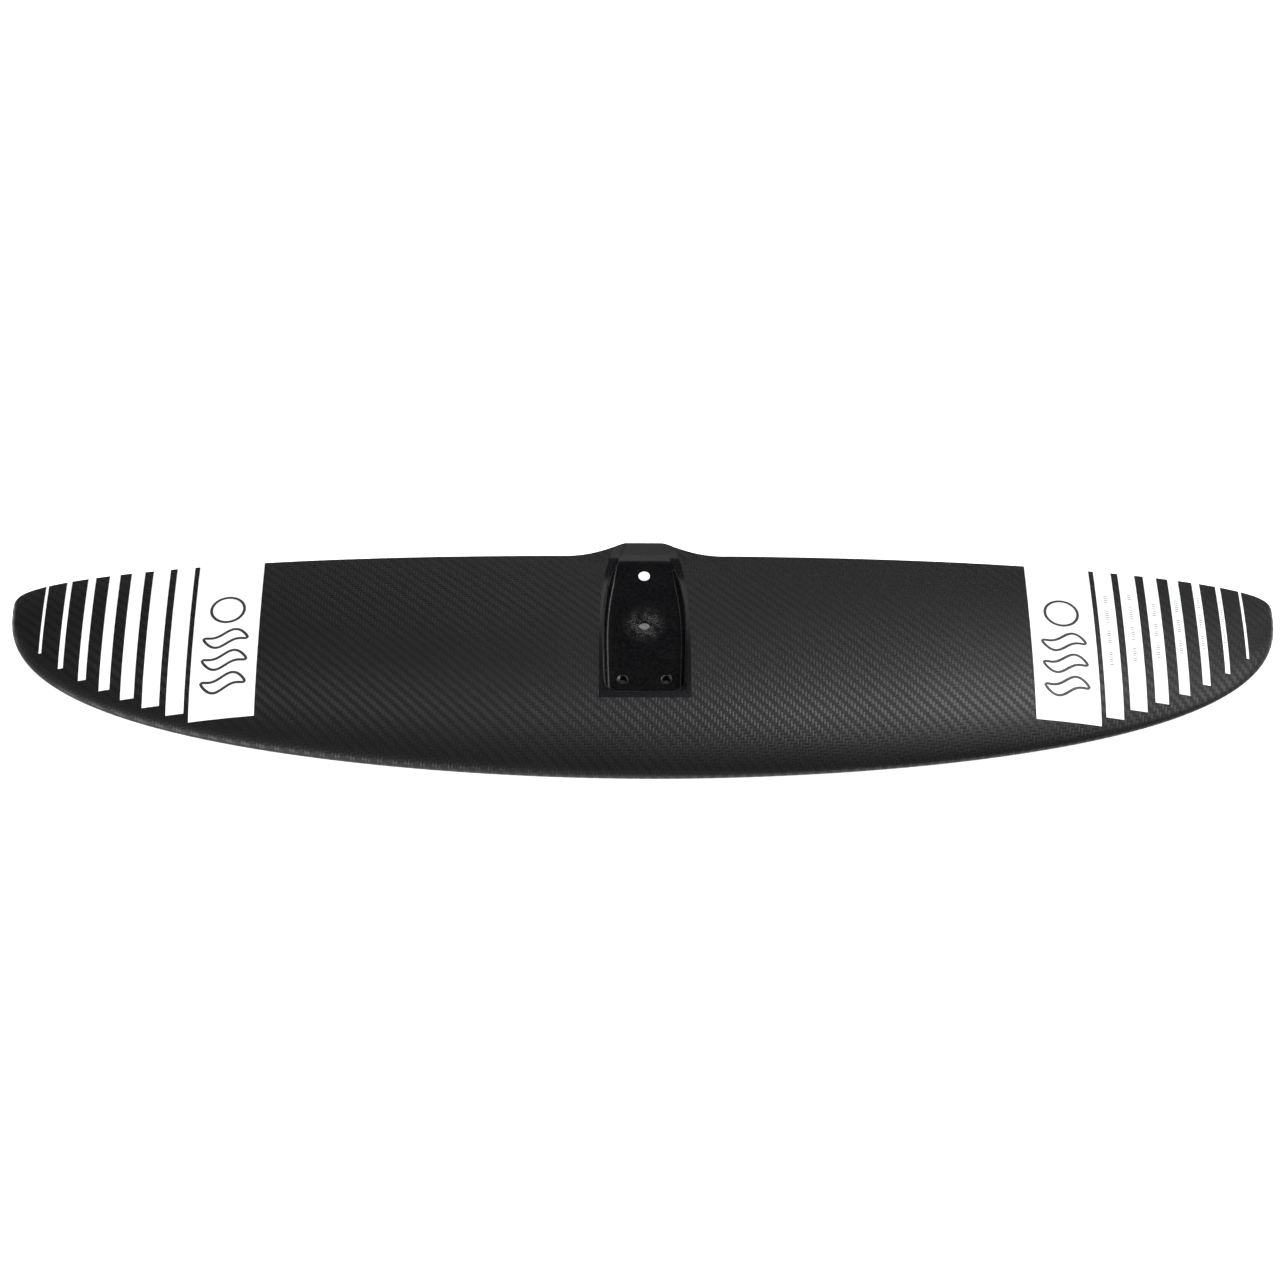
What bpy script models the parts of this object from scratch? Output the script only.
"""Front wing of a hydrofoil: a moulded carbon wing with a socket for the fuselage in its upper face.

Metres, +Z up. The origin is on the floor of the socket, midway between its two bolt holes. +X runs
along the span, +Y towards the trailing edge. The wing is two carbon skins over foam cores, a laminate
block and spar caps, with a moulded socket let in at the centre, two bolt sleeves, two threaded inserts
and white film strips.
"""

import math

import bmesh
import bpy
import numpy as np

MM = 0.001
GAP = 0.3 * MM  # clearance between neighbouring pieces
BOND = 0.6 * MM  # glue line between a skin and what it is bonded to

# Planform
HALF_SPAN = 405.0 * MM
TIP_Y = 5.9 * MM
NOSE_DEPTH, NOSE_POWER, NOSE_ROOT = 141.1 * MM, 1.99, 2.16
TAIL_DEPTH, TAIL_POWER, TAIL_ROOT = 29.2 * MM, 3.76, 5.02
BUMP_HEIGHT, BUMP_FLAT, BUMP_END, BUMP_POWER = 12.6 * MM, 13.0 * MM, 51.5 * MM, 1.75
TIP_CUT = 0.9999  # the outermost station, as a share of the half span

# Section
DROOP, DROOP_POWER = 28.0 * MM, 2.4
THICKNESS, THICKNESS_LOSS = 0.13, 0.25  # share of the chord, and how much of it goes by the tip
CAMBER = 0.03
EDGE_HALF = 0.6 * MM  # half of the leading and trailing edges' thickness
SKIN = 1.6 * MM

# Centre section, shaped to carry the fuselage
CENTRE_HALF = 44.0 * MM
SINK = 1.5 * MM  # how far the tail of the upper face dips to meet the socket's floor
SINK_START, SINK_END = 0.84, 1.0  # these and the next pairs are shares of the chord
KEEL, KEEL_HALF = 4.6 * MM, 52.0 * MM
KEEL_START, KEEL_END = 0.30, 0.62
PARTING_START, PARTING_END = 0.75, 0.92  # where the skins' meeting face drops to below the socket
THICK_START, THICK_END = 0.80, 0.86  # where the lower skin thickens to fill the space below the socket
BLOCK_HALF = 58.0 * MM
BLOCK_START, BLOCK_END = 0.03, 0.79

# Socket
SEAT_Z = 0.0
SOCKET_FLOOR = 2.0 * MM
BASE_TURN_Y, BASE_SLOPE = 34.0 * MM, 0.13  # behind this, the socket's underside falls with the wing's tail
SOCKET_FRONT, SOCKET_SIDE = -79.8 * MM, 24.8 * MM
SOCKET_WIDEST_Y, SOCKET_TAPER, SOCKET_SWEEP = -28.0 * MM, 2.3, 0.6  # tapers are per metre
SOCKET_CORNER, SOCKET_FILLET, SOCKET_DRAFT = 7.5 * MM, 1.5 * MM, 0.07
FILLET_MIDDLE = 0.3  # the middle ring of the fillet, as a share of its radius
FLANGE_FRONT, FLANGE_SIDE = -85.7 * MM, 28.7 * MM
FLANGE_STRAIGHT_Y, FLANGE_LENGTH = -45.0 * MM, 87.0 * MM
FLANGE_TAPER, FLANGE_POWER = 8.5 * MM, 2.6

# Fasteners
REAR_HOLE_Y, CENTRE_HOLE_Y = 19.3 * MM, -18.9 * MM
BOLT_HOLE_R, SLEEVE_R = 3.7 * MM, 9.6 * MM
REAR_COUNTERSINK, CENTRE_COUNTERSINK = 5.4 * MM, 3.9 * MM  # depths; the sides are at 45 degrees
INSERT_X, INSERT_Y = 13.7 * MM, -61.2 * MM
INSERT_R, THREAD_R, INSERT_DEPTH, INSERT_LIP = 3.7 * MM, 2.5 * MM, 4.0 * MM, 0.7 * MM

# Core and spar caps, by share of the chord
CORE_REACH = 0.9
CORE_START, CORE_END, CORE_START_GAIN, CORE_END_LOSS = 0.012, 0.91, 0.03, 0.16
CAP_START, CAP_END, CAP_THICKNESS = 0.22, 0.38, 0.8 * MM
STEP = 0.004  # the width of the step in a core beside a cap

# White film
FILM = 0.3 * MM
PANEL_INNER, PANEL_OUTER = 244.3 * MM, 285.8 * MM
STRIPE_WIDTHS = (11.4, 11.0, 8.7, 6.9, 5.0, 3.2, 1.7)  # millimetres, from the panel to the tip
STRIPE_FIRST, STRIPE_PITCH, STRIPE_CLOSING = 294.7 * MM, 15.75 * MM, 0.13 * MM
FILM_NOSE_GAP, FILM_NOSE_STEP = 6.0 * MM, 0.82 * MM
LEFT_FILM_SHIFT = 1.0 * MM  # the films on the left sit this much nearer the middle
FILM_TAIL_GAP = 0.2 * MM

# Fineness of the meshes, and how far the cutters reach
ROUND_SIDES = 24
SKIN_ROWS, CORE_STATIONS, BLOCK_STATIONS, OUTLINE_POINTS, FILM_ROWS = 15, 14, 15, 14, 11
CORE_PIECES, BLOCK_PIECES, CAP_PIECES = 9, 11, 3
NOSE_SPACING, FILM_SPACING = 2.0, 1.4  # powers that draw the rows together towards the nose
SETTLING_ROUNDS = 30
CUTTER_REACH, RECESS_HEIGHT, PAST_TAIL_Y, CONE_REACH = 30.0 * MM, 25.0 * MM, 60.0 * MM, 10.0 * MM

CARBON = ((0.028, 0.028, 0.030, 1.0), 0.42, 0.0)
UD_CARBON = ((0.020, 0.020, 0.022, 1.0), 0.50, 0.0)
SOCKET_BLACK = ((0.010, 0.010, 0.012, 1.0), 0.25, 0.0)
LAMINATE = ((0.050, 0.052, 0.045, 1.0), 0.60, 0.0)
FOAM = ((0.72, 0.66, 0.48, 1.0), 0.90, 0.0)
STEEL = ((0.62, 0.62, 0.60, 1.0), 0.30, 1.0)
WHITE_FILM = ((0.90, 0.90, 0.89, 1.0), 0.35, 0.0)


def clear_scene():
    for obj in list(bpy.data.objects):
        bpy.data.objects.remove(obj)


# Curves and surfaces of the wing. Each takes and gives numpy arrays, in metres.


def smooth_step(low, high, value):
    t = np.clip((value - low) / (high - low), 0.0, 1.0)
    return t * t * (3.0 - 2.0 * t)


def span_share(x):
    return np.clip(np.abs(x) / HALF_SPAN, 0.0, TIP_CUT)


def nose_y(x):
    return TIP_Y - NOSE_DEPTH * (1.0 - span_share(x) ** NOSE_POWER) ** (1.0 / NOSE_ROOT)


def tail_y(x):
    return TIP_Y + TAIL_DEPTH * (1.0 - span_share(x) ** TAIL_POWER) ** (1.0 / TAIL_ROOT)


def bump(x):
    slope = np.clip((BUMP_END - np.abs(x)) / (BUMP_END - BUMP_FLAT), 0.0, 1.0)
    return BUMP_HEIGHT * slope**BUMP_POWER


def chord_share(x, y):
    return (y - nose_y(x)) / (tail_y(x) - nose_y(x))


def near_centre(x):
    return np.exp(-((x / CENTRE_HALF) ** 6))


def camber_z(x, y):
    s = chord_share(x, y)
    curved = 4.0 * CAMBER * s * (1.0 - s)
    straight = -4.0 * CAMBER * (s - 1.0)
    rise = np.where(s < 1.0, curved, straight) * (tail_y(x) - nose_y(x))
    return rise - DROOP * span_share(x) ** DROOP_POWER


def half_thickness(x, y):
    s = np.clip(chord_share(x, y), 0.0, 1.0)
    ratio = THICKNESS * (1.0 - THICKNESS_LOSS * span_share(x) ** 2)
    shape = 0.2969 * np.sqrt(s) - 0.126 * s - 0.3516 * s**2 + 0.2843 * s**3 - 0.1036 * s**4
    return 5.0 * ratio * shape * (tail_y(x) - nose_y(x)) + EDGE_HALF


def upper_z(x, y):
    sink = SINK * near_centre(x) * smooth_step(SINK_START, SINK_END, chord_share(x, y))
    return camber_z(x, y) + half_thickness(x, y) - sink


def lower_z(x, y):
    depth = KEEL * np.exp(-((x / KEEL_HALF) ** 4))
    depth = depth * smooth_step(KEEL_START, KEEL_END, chord_share(x, y))
    return camber_z(x, y) - half_thickness(x, y) - depth


def socket_base_z(y):
    return SEAT_Z - SOCKET_FLOOR - BASE_SLOPE * np.maximum(0.0, y - BASE_TURN_Y)


def parting_z(x, y):
    """Where the two skins meet: the camber surface, but under the socket at the tail of the centre."""
    blend = near_centre(x) * smooth_step(PARTING_START, PARTING_END, chord_share(x, y))
    return camber_z(x, y) * (1.0 - blend) + (socket_base_z(y) - GAP / 2.0) * blend


def upper_inner_z(x, y):
    return np.maximum(parting_z(x, y) + GAP / 2.0, upper_z(x, y) - SKIN)


def lower_inner_z(x, y):
    blend = near_centre(x) * smooth_step(THICK_START, THICK_END, chord_share(x, y))
    thick = (lower_z(x, y) + SKIN) * (1.0 - blend) + (socket_base_z(y) - GAP) * blend
    return np.minimum(parting_z(x, y) - GAP / 2.0, thick)


def in_cap(x, y):
    s = chord_share(x, y)
    half_way = 1.25 * STEP  # between the two columns of each break
    return (s > CAP_START - half_way) & (s < CAP_END + half_way)


def core_top_z(x, y):
    return upper_inner_z(x, y) - BOND - np.where(in_cap(x, y), CAP_THICKNESS + GAP, 0.0)


def core_bottom_z(x, y):
    return lower_inner_z(x, y) + BOND + np.where(in_cap(x, y), CAP_THICKNESS + GAP, 0.0)


def block_top_z(x, y):
    return upper_inner_z(x, y) - BOND


# Mesh helpers


def material(name, look):
    colour, roughness, metallic = look
    made = bpy.data.materials.get(name) or bpy.data.materials.new(name)
    made.use_nodes = True
    shader = made.node_tree.nodes["Principled BSDF"]
    shader.inputs["Base Color"].default_value = colour
    shader.inputs["Roughness"].default_value = roughness
    shader.inputs["Metallic"].default_value = metallic
    made.diffuse_color = colour
    return made


def add_object(name, mesh, look=None):
    obj = bpy.data.objects.new(name, mesh)
    bpy.context.scene.collection.objects.link(obj)
    mesh.shade_smooth()
    mesh.set_sharp_from_angle(angle=math.radians(35))
    if look:
        mesh.materials.append(material(*look))
    return obj


def closed_mesh(name, points, faces):
    work = bmesh.new()
    verts = [work.verts.new(point) for point in points]
    for face in faces:
        work.faces.new([verts[i] for i in face])
    bmesh.ops.recalc_face_normals(work, faces=work.faces)
    mesh = bpy.data.meshes.new(name)
    work.to_mesh(mesh)
    work.free()
    return mesh


def layer(name, x, y, top, bottom, look):
    """A closed sheet over a grid of plan points, between two height functions."""
    rows, columns = x.shape
    upper = np.stack([x, y, top(x, y)], axis=-1).reshape(-1, 3)
    lower = np.stack([x, y, bottom(x, y)], axis=-1).reshape(-1, 3)
    count = rows * columns
    faces = []
    for i in range(rows - 1):
        for j in range(columns - 1):
            a, b = i * columns + j, (i + 1) * columns + j
            left_half = x[i, j] + x[i + 1, j] < 0.0
            if left_half:
                halves = ((a, b, b + 1), (a, b + 1, a + 1))
            else:
                halves = ((a, b, a + 1), (b, b + 1, a + 1))
            for p, q, r in halves:
                faces.append((p, q, r))
                faces.append((r + count, q + count, p + count))
    rim = [i * columns for i in range(rows)]
    rim += [(rows - 1) * columns + j for j in range(1, columns)]
    rim += [i * columns + columns - 1 for i in range(rows - 2, -1, -1)]
    rim += [j for j in range(columns - 2, 0, -1)]
    for a, b in zip(rim, rim[1:] + rim[:1]):
        faces.append((a + count, b + count, b, a))
    points = np.concatenate([upper, lower])
    return add_object(name, closed_mesh(name, points.tolist(), faces), look)


def prism(name, outline, low, high, upper_outline=None):
    """A cutter with straight sides. An outline is a list of (x, y). The upper end may have its own."""
    count = len(outline)
    points = [(x, y, low) for x, y in outline]
    points += [(x, y, high) for x, y in upper_outline or outline]
    faces = [tuple(range(count - 1, -1, -1)), tuple(range(count, 2 * count))]
    for i in range(count):
        j = (i + 1) % count
        faces.append((i, j, j + count, i + count))
    return as_cutter(add_object(name, closed_mesh(name, points, faces)))


def as_cutter(obj):
    obj.hide_render = True
    obj.display_type = "WIRE"
    return obj


def cut(obj, cutter):
    modifier = obj.modifiers.new(cutter.name, "BOOLEAN")
    modifier.operation = "DIFFERENCE"
    modifier.solver = "EXACT"
    modifier.object = cutter


def circle(x, y, radius):
    angles = [2.0 * math.pi * i / ROUND_SIDES for i in range(ROUND_SIDES)]
    return [(x + radius * math.cos(a), y + radius * math.sin(a)) for a in angles]


def round_cutter(name, x, y, radius, low=-CUTTER_REACH):
    return prism(name, circle(x, y, radius), low, CUTTER_REACH)


def cone_cutter(name, y, point):
    """A cone that opens downwards at 45 degrees, as wide as a bolt hole at the height of its point."""
    wide = circle(0.0, y, BOLT_HOLE_R + CONE_REACH)
    narrow = circle(0.0, y, BOLT_HOLE_R - GAP)
    return prism(name, wide, point - CONE_REACH, point + GAP, narrow)


def turned(name, x, y, profile, look):
    """A ring turned about an upright axis from a closed profile of (radius, height)."""
    points = []
    for i in range(ROUND_SIDES):
        a = 2.0 * math.pi * i / ROUND_SIDES
        points += [(x + r * math.cos(a), y + r * math.sin(a), z) for r, z in profile]
    size = len(profile)
    faces = []
    for i in range(ROUND_SIDES):
        here, there = i * size, ((i + 1) % ROUND_SIDES) * size
        for j in range(size):
            k = (j + 1) % size
            faces.append((here + j, there + j, there + k, here + k))
    return add_object(name, closed_mesh(name, points, faces), look)


# Plan grids


def half_stations():
    """Distances from the centre, closer together at the bump and towards the tip."""
    bump_part = np.concatenate([np.linspace(0.0, BUMP_FLAT, 3), np.linspace(BUMP_FLAT, BUMP_END, 6)[1:]])
    angles = np.linspace(math.asin(BUMP_END / HALF_SPAN), math.asin(TIP_CUT), 17)
    return np.concatenate([bump_part, HALF_SPAN * np.sin(angles[1:])])


def skin_grid():
    half = half_stations()
    stations = np.concatenate([-half[:0:-1], half])
    share = np.linspace(0.0, 1.0, SKIN_ROWS) ** NOSE_SPACING
    x = np.repeat(stations[:, None], SKIN_ROWS, axis=1)
    y = nose_y(x) + share * (tail_y(x) + bump(x) - nose_y(x))
    return x, y


def strip_grid(stations, starts, ends, pieces, breaks=()):
    """Stations along the span by shares of the chord, with a close pair of columns at each break."""
    x = np.repeat(stations[:, None], pieces + 1 + 2 * len(breaks), axis=1)
    y = np.empty_like(x)
    for i, station in enumerate(stations):
        shares = list(np.linspace(starts[i], ends[i], pieces + 1))
        for edge, side in breaks:
            shares += [edge, edge + side * STEP / 2.0]
        nose, tail = nose_y(station), tail_y(station)
        y[i] = nose + np.sort(shares) * (tail - nose)
    return x, y


def block_stations():
    return np.linspace(-BLOCK_HALF, BLOCK_HALF, BLOCK_STATIONS)


CAP_BREAKS = ((CAP_START - STEP, -1.0), (CAP_END + STEP, 1.0))


# Sub-parts


def make_skins():
    x, y = skin_grid()
    top = layer("top_skin", x, y, upper_z, upper_inner_z, ("carbon_twill", CARBON))
    bottom = layer("bottom_skin", x, y, lower_inner_z, lower_z, ("carbon_twill", CARBON))
    return top, bottom


def core_range(side):
    inner, outer = BLOCK_HALF + GAP, CORE_REACH * HALF_SPAN
    stations = np.linspace(inner, outer, CORE_STATIONS)
    starts = CORE_START + CORE_START_GAIN * stations / HALF_SPAN
    ends = CORE_END - CORE_END_LOSS * stations / HALF_SPAN
    if side < 0:
        return -stations[::-1], starts[::-1], ends[::-1]
    return stations, starts, ends


def make_core(name, side):
    stations, starts, ends = core_range(side)
    x, y = strip_grid(stations, starts, ends, CORE_PIECES, CAP_BREAKS)
    return layer(name, x, y, core_top_z, core_bottom_z, ("foam", FOAM))


def cap_grid(stations):
    starts = np.full(len(stations), CAP_START)
    ends = np.full(len(stations), CAP_END)
    return strip_grid(stations, starts, ends, CAP_PIECES)


def make_upper_cap(name, side):
    stations = core_range(side)[0]
    x, y = cap_grid(stations)

    def top(x, y):
        return upper_inner_z(x, y) - BOND

    def bottom(x, y):
        return top(x, y) - CAP_THICKNESS

    return layer(name, x, y, top, bottom, ("carbon_ud", UD_CARBON))


def make_lower_cap():
    right = core_range(1.0)[0]
    stations = np.concatenate([-right[::-1], block_stations()[1:-1], right])
    x, y = cap_grid(stations)

    def bottom(x, y):
        return lower_inner_z(x, y) + BOND

    def top(x, y):
        return bottom(x, y) + CAP_THICKNESS

    return layer("lower_spar_cap", x, y, top, bottom, ("carbon_ud", UD_CARBON))


def make_block():
    stations = block_stations()
    starts = np.full(len(stations), BLOCK_START)
    ends = np.full(len(stations), BLOCK_END)
    x, y = strip_grid(stations, starts, ends, BLOCK_PIECES, CAP_BREAKS)
    return layer("centre_block", x, y, block_top_z, core_bottom_z, ("laminate", LAMINATE))


def socket_half_width(y):
    behind = SOCKET_TAPER * np.maximum(0.0, y - SOCKET_WIDEST_Y) ** 2
    ahead = SOCKET_SWEEP * np.minimum(0.0, y - SOCKET_WIDEST_Y) ** 2
    return SOCKET_SIDE - behind - ahead


def flange_half_width(y):
    share = np.clip((y - FLANGE_STRAIGHT_Y) / FLANGE_LENGTH, 0.0, 1.1)
    return FLANGE_SIDE - FLANGE_TAPER * share**FLANGE_POWER


def flange_outline(margin):
    """The plan of the hole that the socket sits in, open past the trailing edge."""
    ys = np.linspace(PAST_TAIL_Y, FLANGE_FRONT - margin, OUTLINE_POINTS)
    right = [(flange_half_width(y) + margin, y) for y in ys]
    return right + [(-x, y) for x, y in reversed(right)]


def socket_outline(outset):
    """The plan of the recess: bowed sides, round front corners, open past the trailing edge."""
    front = SOCKET_FRONT - outset
    corner = SOCKET_CORNER + outset
    side_end = front + corner
    ys = np.linspace(PAST_TAIL_Y, side_end, OUTLINE_POINTS)
    right = [(socket_half_width(y) + outset, y) for y in ys]
    centre_x = right[-1][0] - corner
    for i in range(1, 7):
        a = math.radians(15.0 * i)
        right.append((centre_x + corner * math.cos(a), side_end - corner * math.sin(a)))
    return right + [(-x, y) for x, y in reversed(right)]


def make_recess_cutter():
    """The space of the recess, with a fillet at the floor and drafted walls."""
    middle = FILLET_MIDDLE * SOCKET_FILLET
    rings = [
        (socket_outline(-SOCKET_FILLET), SEAT_Z),
        (socket_outline(-middle), SEAT_Z + middle),
        (socket_outline(0.0), SEAT_Z + SOCKET_FILLET),
        (socket_outline(SOCKET_DRAFT * RECESS_HEIGHT), SEAT_Z + SOCKET_FILLET + RECESS_HEIGHT),
    ]
    points = [(x, y, z) for outline, z in rings for x, y in outline]
    size = len(rings[0][0])
    faces = [tuple(range(size - 1, -1, -1)), tuple(range(3 * size, 4 * size))]
    for level in range(3):
        for i in range(size):
            a, b = level * size + i, level * size + (i + 1) % size
            faces.append((a, b, b + size, a + size))
    return as_cutter(add_object("recess_cutter", closed_mesh("recess_cutter", points, faces)))


def make_socket():
    """The moulded liner: as wide as its flange, flush with the upper face, with the recess cut into it."""
    across, along = np.linspace(-1.0, 1.0, 11), np.linspace(0.0, 1.0, 15)
    x = np.zeros((len(across), len(along)))
    y = np.zeros_like(x)
    for _ in range(SETTLING_ROUNDS):
        x = across[:, None] * flange_half_width(y)
        y = FLANGE_FRONT + along[None, :] * (tail_y(x) + bump(x) - FLANGE_FRONT)

    def bottom(x, y):
        return socket_base_z(y)

    socket = layer("fuselage_socket", x, y, upper_z, bottom, ("socket_black", SOCKET_BLACK))
    cut(socket, make_recess_cutter())
    return socket


def sleeve_base(y):
    return float(lower_z(np.array(0.0), np.array(y)))


def make_sleeve(name, y, top, countersink):
    """A sleeve from the wing's underside up to the socket, countersunk from below."""
    base = sleeve_base(y)
    cone_top = base + countersink
    profile = [(BOLT_HOLE_R + countersink, base), (SLEEVE_R, base), (SLEEVE_R, top)]
    if cone_top < top:
        profile += [(BOLT_HOLE_R, top), (BOLT_HOLE_R, cone_top)]
    else:
        profile += [(BOLT_HOLE_R + cone_top - top, top)]
    return turned(name, 0.0, y, profile, ("steel", STEEL))


def make_insert(name, side):
    profile = [
        (THREAD_R, -INSERT_DEPTH),
        (INSERT_R, -INSERT_DEPTH),
        (INSERT_R, SEAT_Z),
        (THREAD_R + INSERT_LIP, SEAT_Z),
        (THREAD_R, -INSERT_LIP),
    ]
    return turned(name, side * INSERT_X, INSERT_Y, profile, ("steel", STEEL))


def make_bolt_hole(socket, label, y, countersink):
    """The hole in the socket. A deep countersink runs on up from the sleeve into the socket's floor."""
    cut(socket, round_cutter(f"{label}_bolt_cutter", 0.0, y, BOLT_HOLE_R))
    cone_top = sleeve_base(y) + countersink
    if cone_top > SEAT_Z - SOCKET_FLOOR:
        cut(socket, cone_cutter(f"{label}_cone_cutter", y, cone_top))


def make_film(name, side, inner, outer, step, columns):
    """A strip of film 0.3 mm above the skin, cut square at the nose and run out to the trailing edge."""
    front = nose_y(outer) + FILM_NOSE_GAP + step * FILM_NOSE_STEP
    stations = np.sort(side * np.linspace(inner, outer, columns))
    if side < 0.0:
        stations = stations + LEFT_FILM_SHIFT
    share = np.linspace(0.0, 1.0, FILM_ROWS) ** FILM_SPACING
    x = np.repeat(stations[:, None], len(share), axis=1)
    y = front + share * (tail_y(x) - FILM_TAIL_GAP - front)

    def bottom(x, y):
        return upper_z(x, y) + GAP

    def top(x, y):
        return bottom(x, y) + FILM

    return layer(name, x, y, top, bottom, ("white_film", WHITE_FILM))


def make_films():
    for label, side in (("left", -1.0), ("right", 1.0)):
        make_film(f"panel_{label}", side, PANEL_INNER, PANEL_OUTER, 0, 4)
        for k, width in enumerate(STRIPE_WIDTHS):
            middle = STRIPE_FIRST + k * STRIPE_PITCH - k * k * STRIPE_CLOSING
            half = width * MM / 2.0
            make_film(f"stripe_{label}_{k + 1}", side, middle - half, middle + half, k + 1, 2)


def main():
    clear_scene()
    top_skin, bottom_skin = make_skins()
    make_core("core_left", -1.0)
    make_core("core_right", 1.0)
    make_upper_cap("upper_spar_cap_left", -1.0)
    make_upper_cap("upper_spar_cap_right", 1.0)
    lower_cap = make_lower_cap()
    block = make_block()
    socket = make_socket()

    cut(top_skin, prism("flange_cutter", flange_outline(GAP), -CUTTER_REACH, CUTTER_REACH))
    under_floor = SEAT_Z - SOCKET_FLOOR - GAP
    cut(block, prism("block_cutter", flange_outline(GAP), under_floor, CUTTER_REACH))
    bolts = (("rear", REAR_HOLE_Y, REAR_COUNTERSINK), ("centre", CENTRE_HOLE_Y, CENTRE_COUNTERSINK))
    for label, y, countersink in bolts:
        make_sleeve(f"bolt_sleeve_{label}", y, under_floor, countersink)
        make_bolt_hole(socket, label, y, countersink)
        sleeve_cutter = round_cutter(f"{label}_sleeve_cutter", 0.0, y, SLEEVE_R + GAP)
        cut(bottom_skin, sleeve_cutter)
        cut(block, sleeve_cutter)
    for label, side in (("left", -1.0), ("right", 1.0)):
        make_insert(f"threaded_insert_{label}", side)
        bottom = -INSERT_DEPTH - 2.0 * GAP
        name = f"{label}_insert_cutter"
        insert_cutter = round_cutter(name, side * INSERT_X, INSERT_Y, INSERT_R + GAP, bottom)
        cut(socket, insert_cutter)
        cut(block, insert_cutter)
    make_films()


main()
